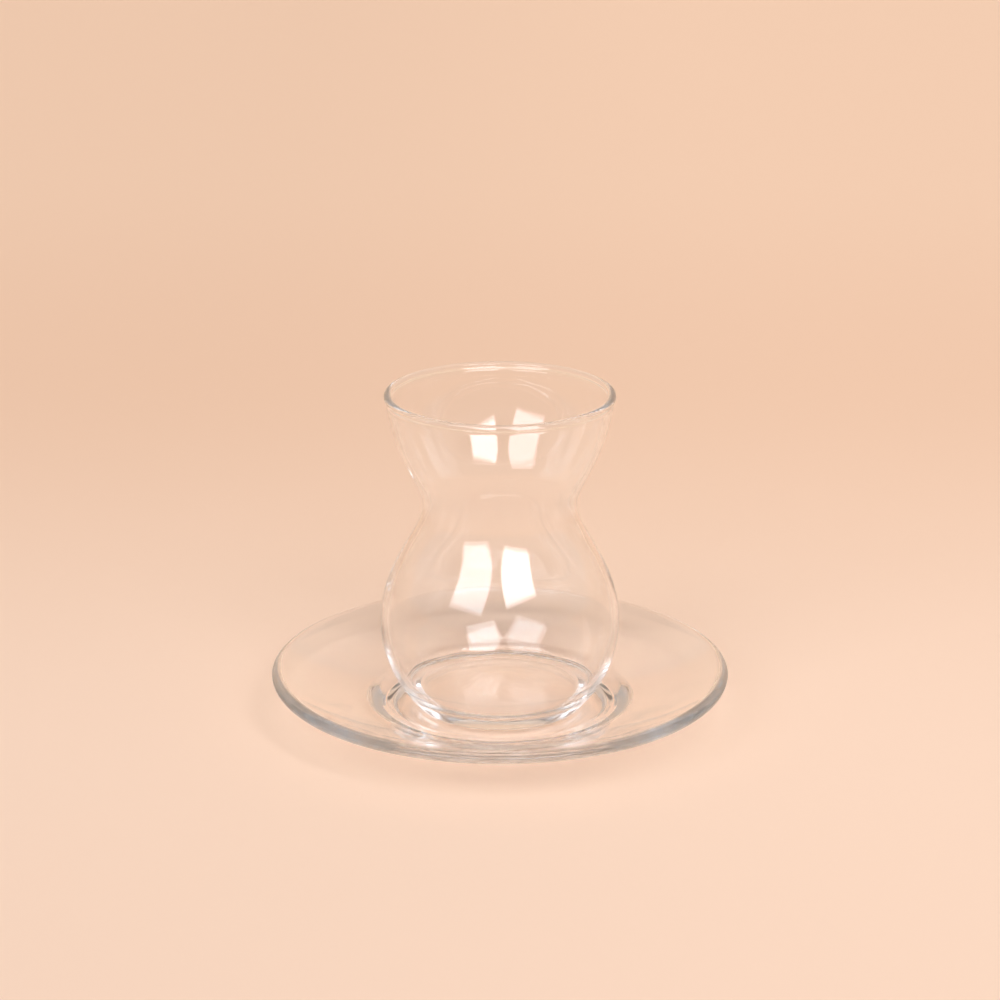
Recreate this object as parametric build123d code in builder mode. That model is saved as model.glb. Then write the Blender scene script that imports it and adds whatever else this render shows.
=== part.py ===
import os
from math import cos, radians, sin

from build123d import *

# A clear tea glass with a round belly and a narrow neck, standing in the well of its clear saucer.
# Millimetres. The table is z = 0, and both pieces are turned about the Z axis.

# saucer, its heights measured from the table
saucer_radius = 62.5        # outermost point of the rounded rim
rim_height = 13.2           # level of that point
rim_top = 3.6               # how far in from it the rounding starts on top
rim_above = 0.8             # and how far above it
rim_under = 1.9             # radius of the rounding underneath
crest_rise = 26.0           # degrees that the dish climbs where the rounding starts
under_rise = 22.0           # and underneath, where it ends
dish_rise = 11.0            # degrees that the dish climbs where it leaves the step
dish_thickness = 2.8        # over the outer edge of the foot ring, measured straight down
well_clearance = 5.5        # flat floor that shows all round the foot of the glass
well_floor = 4.2            # level of that floor
well_thickness = 3.0        # glass under the floor
step_width = 5.5            # rounded step round the well, from its inner to its outer edge
step_rise = 2.4             # level gained over the step
ring_setback = 2.2          # from the well's edge out to the face of the foot ring
inner_flank = 1.6           # width of the ring's sloping inner side
outer_flank = 2.8           # width of its sloping outer side
ring_corner = 0.8           # rounding of the ring's two lower edges

# tea glass, its heights measured from its own foot
glass_height = 88.0
wall = 1.8                  # measured level
lip_radius = 31.0           # outermost point of the fire-rounded lip
lip_roundness = 1.05        # radius of that lip
lip_step = 0.4              # how far the lip stands out past the wall under it
lip_lean = 5.3              # degrees that the wall leans out under the lip
bowl_fullness = 17.0        # how far down from the lip the bowl holds that lean
neck_radius = 20.9
neck_height = 56.7
neck_above = 6.8            # how far the neck stays upright above its narrowest level
neck_below = 8.4            # and below it
belly_radius = 32.6
belly_height = 23.4         # level of the widest part
belly_above = 16.0          # how far the belly stays upright above that level
foot_radius = 22.7
foot_corner = 0.9           # rounding of the foot's outer edge
foot_ring = 3.6             # width of the flat ring that the glass stands on
instep = 12.0               # from that ring in to the hollow under the base
hollow = 0.1                # how far that hollow clears the well
base_thickness = 4.0        # from the foot up to the floor inside
floor_spread = 0.5          # how much further out than the foot the belly's inside meets that floor
floor_corner = 6.5          # rounding between them

os.makedirs("parts", exist_ok=True)


def slope(degrees):
    # unit vector that climbs outwards at an angle from level
    return Vector(cos(radians(degrees)), sin(radians(degrees)))


def side_of_glass(inset):
    # One side of the wall from the belly up to the lip: inset is 0 outside, and the wall's thickness inside.
    belly = Vector(belly_radius - inset, belly_height)
    neck = Vector(neck_radius - inset, neck_height)
    lip = Vector(lip_radius - lip_step - inset, glass_height - lip_roundness)
    Bezier(belly, belly + Vector(0, belly_above), neck - Vector(0, neck_below), neck)
    Bezier(neck, neck + Vector(0, neck_above), lip - slope(90 - lip_lean) * bowl_fullness, lip)
    return belly, lip


def nearest_corner(sketch, point):
    return sketch.vertices().sort_by_distance(point)[0]


# The saucer's well is as wide as the foot of the glass and its clearance.
well_radius = foot_radius + well_clearance
step_outer = well_radius + step_width
step_top = well_floor + step_rise
ring_inner = well_radius + ring_setback
recess = well_floor - well_thickness
rim = Vector(saucer_radius, rim_height)
rim_start = rim + Vector(-rim_top, rim_above)

with BuildPart() as saucer:
    with BuildSketch(Plane.XZ) as saucer_section:
        with BuildLine() as saucer_outline:
            well_edge = Vector(well_radius, well_floor)
            step_edge = Vector(step_outer, step_top)
            under_edge = Vector(step_outer + outer_flank, step_top - dish_thickness)
            Line((0, well_floor), well_edge)
            Spline(well_edge, step_edge, tangents=(slope(0), slope(dish_rise)))
            Spline(step_edge, rim_start, tangents=(slope(dish_rise), slope(crest_rise)))
            Bezier(
                rim_start,
                rim_start + slope(crest_rise) * rim_top * 0.55,
                rim + Vector(0, rim_above * 0.55),
                rim,
            )
            rim_arc = JernArc(start=rim, tangent=(0, -1), radius=rim_under, arc_size=under_rise - 90)
            Spline(rim_arc @ 1, under_edge, tangents=(slope(under_rise + 180), slope(dish_rise + 180)))
            Polyline(
                under_edge,
                (step_outer, 0),
                (ring_inner, 0),
                (ring_inner - inner_flank, recess),
                (0, recess),
                (0, well_floor),
            )
        make_face()
        for ring_edge in (step_outer, ring_inner):
            fillet(nearest_corner(saucer_section, Vector(ring_edge, 0)), ring_corner)
    revolve(axis=Axis.Z)

# Each side of the belly's lower half is one arc, upright at the widest level. The wall grows thicker
# down to the floor.
floor_radius = foot_radius + floor_spread
ring_edge_inside = foot_radius - foot_ring

standing_plane = Plane(origin=(0, 0, well_floor), x_dir=(1, 0, 0), z_dir=(0, -1, 0))

with BuildPart() as tea_glass:
    with BuildSketch(standing_plane) as glass_section:
        with BuildLine() as glass_outline:
            belly_outside, lip_outside = side_of_glass(0)
            belly_inside, lip_inside = side_of_glass(wall)
            Line(lip_outside, lip_inside)
            TangentArc(belly_outside, (foot_radius, 0), tangent=(0, -1))
            TangentArc(belly_inside, (floor_radius, base_thickness), tangent=(0, -1))
            Polyline(
                (foot_radius, 0),
                (ring_edge_inside, 0),
                (ring_edge_inside - instep, hollow),
                (0, hollow),
                (0, base_thickness),
                (floor_radius, base_thickness),
            )
        make_face()
        fillet(nearest_corner(glass_section, Vector(foot_radius, 0)), foot_corner)
        fillet(nearest_corner(glass_section, Vector(floor_radius, base_thickness)), floor_corner)
        with Locations((lip_radius - lip_roundness, glass_height - lip_roundness)):
            Circle(lip_roundness)
    revolve(axis=Axis.Z)

saucer.part.label = "saucer"
tea_glass.part.label = "tea_glass"
for piece in (saucer.part, tea_glass.part):
    export_step(piece, f"parts/{piece.label}.step")
    box = piece.bounding_box()
    print(piece.label, "volume", round(piece.volume), "mm3, z", round(box.min.Z, 2), "to", round(box.max.Z, 2))
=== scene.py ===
from math import atan2, cos, pi, radians, sin, sqrt, tan

import bpy
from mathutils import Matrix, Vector


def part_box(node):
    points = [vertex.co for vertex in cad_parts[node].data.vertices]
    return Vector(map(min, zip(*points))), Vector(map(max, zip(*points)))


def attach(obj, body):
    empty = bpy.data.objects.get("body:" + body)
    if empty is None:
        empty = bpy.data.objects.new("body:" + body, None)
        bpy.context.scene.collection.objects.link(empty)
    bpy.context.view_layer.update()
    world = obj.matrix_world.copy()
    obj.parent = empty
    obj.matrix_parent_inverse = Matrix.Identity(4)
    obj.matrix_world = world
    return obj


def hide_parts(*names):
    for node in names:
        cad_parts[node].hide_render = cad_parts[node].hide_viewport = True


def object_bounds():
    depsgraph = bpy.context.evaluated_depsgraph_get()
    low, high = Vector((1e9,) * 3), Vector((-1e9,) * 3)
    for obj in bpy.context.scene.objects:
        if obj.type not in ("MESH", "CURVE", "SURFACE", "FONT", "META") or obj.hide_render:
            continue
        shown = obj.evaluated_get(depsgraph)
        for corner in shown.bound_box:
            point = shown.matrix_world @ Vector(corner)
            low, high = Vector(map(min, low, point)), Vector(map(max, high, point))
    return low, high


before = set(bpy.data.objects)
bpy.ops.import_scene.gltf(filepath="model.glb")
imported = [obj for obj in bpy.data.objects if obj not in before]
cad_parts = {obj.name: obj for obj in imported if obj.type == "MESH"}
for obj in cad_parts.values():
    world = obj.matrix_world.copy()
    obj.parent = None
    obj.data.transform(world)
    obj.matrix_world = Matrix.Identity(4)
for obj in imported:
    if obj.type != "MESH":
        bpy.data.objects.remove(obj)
cadLow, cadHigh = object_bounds()
mm = 0.001
glassBend = 1.51  # refractive index of soda-lime glass
smudgeGrain = 60.0  # smudges for each metre


class Wire:
    # one socket of a node sheet, so that sums can be written as sums
    def __init__(self, sheet, socket):
        self.sheet = sheet
        self.socket = socket

    def math(self, operation, *others):
        return self.sheet.add("ShaderNodeMath", {"operation": operation}, dict(enumerate((self, *others))))

    def __add__(self, other):
        return self.math("ADD", other)

    def __mul__(self, other):
        return self.math("MULTIPLY", other)

    def __rtruediv__(self, other):
        return self.sheet.add("ShaderNodeMath", {"operation": "DIVIDE"}, {0: other, 1: self})

    __radd__ = __add__
    __rmul__ = __mul__

    def fade(self, start, end):
        # 0 at start, 1 at end, with a soft change between them
        settings = {"interpolation_type": "SMOOTHSTEP"}
        sockets = {"Value": self, "From Min": start, "From Max": end}
        return self.sheet.add("ShaderNodeMapRange", settings, sockets)


class NodeSheet:
    def __init__(self, tree):
        self.tree = tree
        self.tree.nodes.clear()

    def add(self, kind, settings=None, sockets=None, output=0):
        node = self.tree.nodes.new(kind)
        for name, value in (settings or {}).items():
            setattr(node, name, value)
        for name, value in (sockets or {}).items():
            if isinstance(value, Wire):
                self.tree.links.new(value.socket, node.inputs[name])
            else:
                node.inputs[name].default_value = value
        return Wire(self, node.outputs[output]) if node.outputs else node

    def blend(self, factor, first, second):
        sockets = {"Factor": factor, 6: first, 7: second}
        return self.add("ShaderNodeMix", {"data_type": "RGBA"}, sockets, output=2)


# studio: linear colours, degrees, metres
studio = {
    "paperNear": (0.985, 0.728, 0.556),  # peach paper, in front of the glass, painted lightest here: painted light
    "paperMid": (0.893, 0.608, 0.429),  # painted darker where it lies flat behind the glass: painted shade
    "paperFar": (0.910, 0.634, 0.452),  # and where it sweeps up, further back; part of the same painted shade across the paper
    "paperLeftShade": 0.945,  # the left side is painted a little darker: painted shade
    "wall": (0.59, 0.55, 0.51),  # pale walls, seen only in the glass
    "backWall": (0.92, 0.72, 0.58),  # the wall behind takes some of the paper's colour
    "cove": (0.13, 0.118, 0.11),  # dark band above the side walls
    "ceiling": (0.47, 0.40, 0.36),
    "front": (0.54, 0.46, 0.40),  # the room around the camera
    # each softbox by its corners: azimuth from the front round to the right, and angle above the level
    "rightBox": [(7, 26), (42, 29.5), (44, 56), (-8, 54)],
    "rightLight": (6.75, 7.0, 7.45),
    "leftBox": [(-54.5, 20.5), (-19.5, 20), (-4, 50), (-53, 51)],
    "leftLight": (4.6, 4.8, 5.15),
    "softEdge": 0.018,
    # colours laid over the walls in turn, each faded in by how far back a ray heads, where that is
    # given, and by how high, both from -1 to 1
    "bands": [
        ("backWall", (0.6, 0.8), (0.42, 0.52)),
        ("cove", (0.74, 0.64), (0.44, 0.53)),
        ("ceiling", None, (0.84, 0.93)),
        ("front", (-0.2, -0.5), (0.4, 0.3)),
        ("paperFar", (0.1, 0.4), (0.26, 0.16)),
        ("paperFar", (0.7, 0.85), (0.5, 0.4)),
        ("paperFar", None, (0.12, 0.06)),
    ],
    "floorRadius": 3.0,
    "floorSides": 96,
    # where the painted shade on the paper changes, on the way back and from left to right
    "nearToMid": (-0.06, 0.34),
    "midToFar": (0.36, 0.7),
    "leftToRight": (-0.15, 0.15),
    "paperGrain": 900.0,
}


def compass(azimuth, climb):
    a, c = radians(azimuth), radians(climb)
    return Vector((sin(a) * cos(c), -cos(a) * cos(c), sin(c)))


def softboxMask(sheet, direction, corners):
    # inside every great circle through two neighbouring corners
    mask = 1
    for first, second in zip(corners, corners[1:] + corners[:1]):
        inward = compass(*first).cross(compass(*second)).normalized()
        sockets = {0: direction, 1: inward}
        side = sheet.add("ShaderNodeVectorMath", {"operation": "DOT_PRODUCT"}, sockets, output="Value")
        mask = side.fade(-studio["softEdge"], studio["softEdge"]) * mask
    return mask


def makeStudio():
    world = bpy.data.worlds.new("studioRoom")
    bpy.context.scene.world = world
    world.use_nodes = True
    sheet = NodeSheet(world.node_tree)
    direction = sheet.add("ShaderNodeTexCoord", output="Generated")
    climb = sheet.add("ShaderNodeSeparateXYZ", sockets={0: direction}, output=2)
    ahead = sheet.add("ShaderNodeSeparateXYZ", sockets={0: direction}, output=1)
    light = (*studio["wall"], 1)
    for name, aheadStretch, climbStretch in studio["bands"]:
        mask = climb.fade(*climbStretch)
        if aheadStretch:
            mask = ahead.fade(*aheadStretch) * mask
        light = sheet.blend(mask, light, (*studio[name], 1))
    for name in ("left", "right"):
        mask = softboxMask(sheet, direction, studio[name + "Box"])
        light = sheet.blend(mask, light, (*studio[name + "Light"], 1))
    seen = sheet.add("ShaderNodeLightPath", output="Is Camera Ray")
    light = sheet.blend(seen, light, (*studio["paperFar"], 1))
    background = sheet.add("ShaderNodeBackground", sockets={"Color": light, "Strength": 1.0})
    sheet.add("ShaderNodeOutputWorld", sockets={"Surface": background})


def makeFloor():
    floor = bpy.data.meshes.new("paperFloor")
    sides, radius = studio["floorSides"], studio["floorRadius"]
    turns = [2 * pi * step / sides for step in range(sides)]
    floor.from_pydata([(cos(a) * radius, sin(a) * radius, 0) for a in turns], [], [tuple(range(sides))])
    thing = bpy.data.objects.new("paperFloor", floor)
    bpy.context.scene.collection.objects.link(thing)
    material = bpy.data.materials.new("peachPaper")
    material.use_nodes = True
    sheet = NodeSheet(material.node_tree)
    place = sheet.add("ShaderNodeTexCoord", output="Object")
    across = sheet.add("ShaderNodeSeparateXYZ", sockets={0: place}, output=0)
    back = sheet.add("ShaderNodeSeparateXYZ", sockets={0: place}, output=1)
    colour = (*studio["paperNear"], 1)
    # painted shade: the paper is painted darker from the front towards the back
    colour = sheet.blend(back.fade(*studio["nearToMid"]), colour, (*studio["paperMid"], 1))
    colour = sheet.blend(back.fade(*studio["midToFar"]), colour, (*studio["paperFar"], 1))
    # painted shade: the paper is painted a little darker on the left side
    leftShade = across.fade(*studio["leftToRight"]) * (1 - studio["paperLeftShade"]) + studio["paperLeftShade"]
    leftShade = sheet.add("ShaderNodeCombineXYZ", sockets={0: leftShade, 1: leftShade, 2: leftShade})
    colour = sheet.add("ShaderNodeVectorMath", {"operation": "MULTIPLY"}, {0: colour, 1: leftShade})
    sockets = {"Vector": place, "Scale": studio["paperGrain"], "Detail": 2.0}
    grain = sheet.add("ShaderNodeTexNoise", sockets=sockets)
    rough = grain * 0.1 + 0.85
    shader = sheet.add("ShaderNodeBsdfPrincipled", sockets={
        "Base Color": colour, "Roughness": rough, "Specular IOR Level": 0.0})
    sheet.add("ShaderNodeOutputMaterial", sockets={"Surface": shader})
    floor.materials.append(material)


makeStudio()
makeFloor()
print("studio ready")


# outlines are lists of (distance from the axis, height) in millimetres
def bezier(first, second, third, fourth, count):
    points = []
    for step in range(count + 1):
        t = step / count
        near = first * (1 - t) ** 3 + second * 3 * t * (1 - t) ** 2
        points.append(near + third * 3 * t * t * (1 - t) + fourth * t ** 3)
    return points


def arc(centre, radius, start, end, count):
    angles = [radians(start + (end - start) * step / count) for step in range(count + 1)]
    return [centre + Vector((cos(a), sin(a))) * radius for a in angles]


def slope(degrees):
    return Vector((cos(radians(degrees)), sin(radians(degrees))))


def line(start, end, count):
    return [start.lerp(end, step / count) for step in range(count + 1)]


def angleOf(vector):
    return atan2(vector.y, vector.x) * 180 / pi


def chain(*runs):
    # runs that meet end to end, without the doubled points
    points = list(runs[0])
    for run in runs[1:]:
        points += [p for p in run if (p - points[-1]).length > 1e-4]
    return points


def roundCorner(before, corner, after, radius, count):
    # arc of that radius that touches both legs of a corner
    legIn, legOut = (before - corner).normalized(), (after - corner).normalized()
    half = legIn.angle(legOut) / 2
    reach = radius / tan(half)
    centre = corner + (legIn + legOut).normalized() * radius / sin(half)
    startAt, endAt = corner + legIn * reach, corner + legOut * reach
    a, b = angleOf(startAt - centre), angleOf(endAt - centre)
    b = a + (b - a + 180) % 360 - 180
    return arc(centre, radius, a, b, count)


def turned(name, outline, piece, material):
    # Geometry Nodes turn an outline, from the axis and back to it, about Z
    mesh = bpy.data.meshes.new(name + "Outline")
    edges = [(i, i + 1) for i in range(len(outline) - 1)]
    mesh.from_pydata([(p.x * mm, p.y * mm, 0) for p in outline], edges, [])
    thing = bpy.data.objects.new(name, mesh)
    bpy.context.scene.collection.objects.link(thing)
    tree = bpy.data.node_groups.new(name + "Turning", "GeometryNodeTree")
    sheet = NodeSheet(tree)
    face = tree.interface
    face.new_socket("Geometry", in_out="INPUT", socket_type="NodeSocketGeometry")
    values = {
        "Segments": ("NodeSocketInt", piece["segments"]),
        "Ripple": ("NodeSocketFloat", piece["ripple"] * mm),
        "Ripple Size": ("NodeSocketFloat", piece["rippleSize"] * mm),
        "Seed": ("NodeSocketFloat", piece["seed"]),
        "Material": ("NodeSocketMaterial", material),
    }
    inputs = {}
    for label, (kind, value) in values.items():
        inputs[label] = face.new_socket(label, in_out="INPUT", socket_type=kind)
    face.new_socket("Geometry", in_out="OUTPUT", socket_type="NodeSocketGeometry")
    given = tree.nodes.new("NodeGroupInput")

    def put(label):
        return Wire(sheet, given.outputs[label])

    hub = 1 * mm  # radius of the circle that the outline is swept round
    profile = sheet.add("GeometryNodeMeshToCurve", sockets={"Mesh": put("Geometry")})
    sockets = {"Geometry": profile, "Translation": (-hub, 0, 0), "Scale": (1, -1, 1)}
    profile = sheet.add("GeometryNodeTransform", sockets=sockets)
    sockets = {"Resolution": put("Segments"), "Radius": hub}
    path = sheet.add("GeometryNodeCurvePrimitiveCircle", sockets=sockets)
    path = sheet.add("GeometryNodeSetCurveNormal", {"mode": "Z_UP"}, {"Curve": path})
    shell = sheet.add("GeometryNodeCurveToMesh", sockets={"Curve": path, "Profile Curve": profile})
    shell = sheet.add("GeometryNodeMergeByDistance", sockets={"Geometry": shell, "Distance": 0.002 * mm})
    # a faint ripple, inwards only, so that the piece never grows
    place = sheet.add("GeometryNodeInputPosition")
    normal = sheet.add("GeometryNodeInputNormal")
    sockets = {"Vector": place, "W": put("Seed"), "Scale": 1.0 / put("Ripple Size"), "Detail": 1.0}
    wave = sheet.add("ShaderNodeTexNoise", {"noise_dimensions": "4D"}, sockets)
    sockets = {0: normal, "Scale": wave * put("Ripple") * -1.0}
    sink = sheet.add("ShaderNodeVectorMath", {"operation": "SCALE"}, sockets)
    shell = sheet.add("GeometryNodeSetPosition", sockets={"Geometry": shell, "Offset": sink})
    shell = sheet.add("GeometryNodeSetShadeSmooth", sockets={"Geometry": shell})
    shell = sheet.add("GeometryNodeRealizeInstances", sockets={"Geometry": shell})
    shell = sheet.add("GeometryNodeSetMaterial", sockets={"Geometry": shell, "Material": put("Material")})
    out = tree.nodes.new("NodeGroupOutput")
    tree.links.new(shell.socket, out.inputs[0])
    modifier = thing.modifiers.new("turning", "NODES")
    modifier.node_group = tree
    for label, (kind, value) in values.items():
        modifier[inputs[label].identifier] = value
    evaluated = thing.evaluated_get(bpy.context.evaluated_depsgraph_get())
    result = bpy.data.meshes.new_from_object(evaluated)
    thing.modifiers.clear()
    thing.data = result
    result.name = name
    return thing


def clearGlass(name, piece):
    material = bpy.data.materials.new(name)
    material.use_nodes = True
    sheet = NodeSheet(material.node_tree)
    place = sheet.add("ShaderNodeTexCoord", output="Object")
    cloud = sheet.add("ShaderNodeTexNoise", sockets={"Vector": place, "Scale": smudgeGrain, "Detail": 3.0})
    colour = sheet.blend(cloud, (*piece["tint"], 1), (1, 1, 1, 1))
    rough = cloud.fade(0.5, 0.8) * piece["smear"]
    shader = sheet.add("ShaderNodeBsdfPrincipled", sockets={
        "Base Color": colour, "Roughness": rough, "IOR": glassBend, "Transmission Weight": 1.0})
    sockets = {"Color": (*piece["depthTint"], 1), "Density": piece["density"]}
    depth = sheet.add("ShaderNodeVolumeAbsorption", sockets=sockets)
    sheet.add("ShaderNodeOutputMaterial", sockets={"Surface": shader, "Volume": depth})
    return material


# sizes of the glass in millimetres, heights from its foot
teaGlass = {
    "height": 88.0, "wall": 1.8, "base": 4.0, "floorRadius": 23.2, "floorCorner": 6.5,
    "lipRadius": 31.0, "lipRoundness": 1.05, "lipStep": 0.4, "lipLean": 5.3, "bowlFullness": 17.0,
    "neckRadius": 20.9, "neckHeight": 56.7, "neckAbove": 6.8, "neckBelow": 8.4,
    "bellyRadius": 32.6, "bellyHeight": 23.4, "bellyAbove": 16.0,
    "footRadius": 22.7, "footCorner": 0.9, "heelAim": 6.0, "footRing": 3.6, "punt": 0.1, "instep": 12.0,
    "lipFrom": -50.0, "lipTo": 205.0, "lipJoin": 0.8,
    # the turning, the ripple of the blown surface, and the glass itself
    "segments": 240, "ripple": 0.08, "rippleSize": 11.0, "seed": 3,
    "tint": (0.998, 0.999, 0.999), "smear": 0.012, "depthTint": (0.56, 0.60, 0.63), "density": 3.0,
}


def glassOutline(size, standing):
    def side(inset):
        belly = Vector((size["bellyRadius"] - inset, size["bellyHeight"]))
        neck = Vector((size["neckRadius"] - inset, size["neckHeight"]))
        lip = Vector((size["lipRadius"] - size["lipStep"] - inset, size["height"] - size["lipRoundness"]))
        up = Vector((0, 1))
        lean = slope(90 - size["lipLean"])
        return (bezier(belly, belly + up * size["bellyAbove"], neck - up * size["neckBelow"], neck, 60),
                bezier(neck, neck + up * size["neckAbove"], lip - lean * size["bowlFullness"], lip, 50))

    drop = size["bellyRadius"] - size["footRadius"]
    bellyArc = (drop ** 2 + size["bellyHeight"] ** 2) / (2 * drop)
    centre = Vector((size["bellyRadius"] - bellyArc, size["bellyHeight"]))
    ring = size["footRadius"] - size["footRing"]
    foot = Vector((size["footRadius"], 0))
    climbing = centre + slope(angleOf(foot - centre) + size["heelAim"]) * bellyArc
    heel = roundCorner(Vector((ring, 0)), foot, climbing, size["footCorner"], 10)
    flatEdge = Vector((ring - size["instep"] - 1, size["punt"]))
    under = [Vector((0, size["punt"])), *line(Vector((4, size["punt"])), flatEdge, 4)]
    crown, seat = Vector((ring - size["instep"], size["punt"])), Vector((ring, 0))
    lean = Vector((size["instep"] * 0.5, 0))
    instep = bezier(crown, crown + lean, seat - lean, seat, 16)
    outsideLow = arc(centre, bellyArc, angleOf(heel[-1] - centre), 0, 40)
    outside = side(0)
    lip = Vector((size["lipRadius"] - size["lipRoundness"], size["height"] - size["lipRoundness"]))
    lipArc = arc(lip, size["lipRoundness"], size["lipFrom"], size["lipTo"], 30)
    topOutside = [p for p in outside[1] if p.y < lipArc[0].y - size["lipJoin"]]
    inside = side(size["wall"])
    topInside = [p for p in inside[1] if p.y < lipArc[-1].y - size["lipJoin"]]
    # inside, the wall grows thicker down to the edge of the floor
    inward = size["bellyRadius"] - size["wall"] - size["floorRadius"]
    drop = size["bellyHeight"] - size["base"]
    innerArc = (inward ** 2 + drop ** 2) / (2 * inward)
    inner = Vector((size["bellyRadius"] - size["wall"] - innerArc, size["bellyHeight"]))
    cornerHeight = size["base"] + size["floorCorner"]
    cornerOut = sqrt((innerArc - size["floorCorner"]) ** 2 - (inner.y - cornerHeight) ** 2)
    corner = Vector((inner.x + cornerOut, cornerHeight))
    reach = angleOf(corner - inner)
    insideLow = arc(inner, innerArc, 0, reach, 40)
    floorArc = arc(corner, size["floorCorner"], reach, -90, 16)
    floorLine = line(Vector((corner.x, size["base"])), Vector((0, size["base"])), 8)
    outer = chain(under, instep, heel, outsideLow, outside[0], topOutside, lipArc)
    outline = chain(outer, topInside[::-1], inside[0][::-1], insideLow, floorArc, floorLine)
    return [p + Vector((0, standing)) for p in outline[::-1]]


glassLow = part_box("tea_glass")[0]
blown = clearGlass("blownGlass", teaGlass)
glass = turned("teaGlass", glassOutline(teaGlass, glassLow.z / mm), teaGlass, blown)
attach(glass, "root")
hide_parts("tea_glass")
print("tea glass ready", len(glass.data.polygons))

# sizes of the saucer in millimetres, heights from the floor
saucerDish = {
    "radius": 62.5, "rimHeight": 13.2, "rimTop": 3.6, "rimAbove": 0.8, "rimUnder": 1.9,
    "crestRise": 26.0, "rimRise": 22.0, "dishRise": 11.0, "thickness": 2.8,
    "wellRadius": 28.2, "wellFloor": 4.2, "wellThickness": 3.0, "stepWidth": 5.5, "stepRise": 2.4,
    "ringSetback": 2.2, "innerFlank": 1.6, "outerFlank": 2.8, "ringCorner": 0.8, "airGap": 0.03,
    "rimFullness": 0.55,
    # the turning, the ripple left by the mould, and the glass itself
    "segments": 240, "ripple": 0.08, "rippleSize": 12.0, "seed": 8,
    "tint": (0.998, 0.999, 0.999), "smear": 0.012, "depthTint": (0.56, 0.60, 0.63), "density": 9.5,
}


def saucerOutline(size):
    def run(start, end, startSlope, endSlope, count):
        reach = (end - start).length / 3
        return bezier(start, start + slope(startSlope) * reach, end - slope(endSlope) * reach, end, count)

    # air is left under the glass's foot and under the foot ring, as there is between real surfaces
    floor = size["wellFloor"] - size["airGap"]
    wellEdge = Vector((size["wellRadius"], floor))
    stepEdge = Vector((size["wellRadius"] + size["stepWidth"], size["wellFloor"] + size["stepRise"]))
    under = stepEdge + Vector((size["outerFlank"], -size["thickness"]))
    rim = Vector((size["radius"], size["rimHeight"]))
    rise, dish = size["rimRise"], size["dishRise"]
    above = Vector((size["radius"] - size["rimTop"], size["rimHeight"] + size["rimAbove"]))
    crest = above + slope(size["crestRise"]) * size["rimTop"] * size["rimFullness"]
    lower = arc(rim - Vector((size["rimUnder"], 0)), size["rimUnder"], 0, rise - 90, 14)
    ringInner = size["wellRadius"] + size["ringSetback"]
    recess = size["wellFloor"] - size["wellThickness"]
    outerFoot, innerFoot = Vector((stepEdge.x, size["airGap"])), Vector((ringInner, size["airGap"]))
    recessEdge = Vector((ringInner - size["innerFlank"], recess))
    return chain(
        line(Vector((0, floor)), wellEdge, 8),
        run(wellEdge, stepEdge, 0, dish, 24),
        run(stepEdge, above, dish, size["crestRise"], 30),
        bezier(above, crest, rim + Vector((0, size["rimAbove"] * size["rimFullness"])), rim, 16),
        lower,
        run(lower[-1], under, rise + 180, dish + 180, 30),
        roundCorner(under, outerFoot, innerFoot, size["ringCorner"], 10),
        roundCorner(outerFoot, innerFoot, recessEdge, size["ringCorner"], 10),
        line(recessEdge, Vector((0, recess)), 8),
    )


pressed = clearGlass("pressedGlass", saucerDish)
saucer = turned("saucerDish", saucerOutline(saucerDish), saucerDish, pressed)
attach(saucer, "root")
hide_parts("saucer")
print("saucer ready", len(saucer.data.polygons))

# lens and distances in millimetres, pitch in degrees below level
cameraSettings = {
    "lens": 104.1, "sensor": 36.0, "pitch": 18.62, "away": 738.4, "aboveLip": 219.5, "lipDown": 1.05,
    "bounces": 160,
}

camera = bpy.data.objects.new("camera", bpy.data.cameras.new("camera"))
bpy.context.scene.collection.objects.link(camera)
bpy.context.scene.camera = camera
camera.data.sensor_width = cameraSettings["sensor"]
camera.data.lens = cameraSettings["lens"]
camera.data.clip_start = 0.01
camera.data.clip_end = 100
lipLevel = cadHigh.z - cameraSettings["lipDown"] * mm
camera.location = (0, -cameraSettings["away"] * mm, lipLevel + cameraSettings["aboveLip"] * mm)
camera.rotation_euler = (radians(90 - cameraSettings["pitch"]), 0, 0)

scene = bpy.context.scene
scene.view_settings.view_transform = "Standard"
scene.cycles.blur_glossy = 0.0
scene.cycles.max_bounces = cameraSettings["bounces"]
scene.cycles.transmission_bounces = cameraSettings["bounces"]
scene.cycles.glossy_bounces = cameraSettings["bounces"]
print("camera ready")
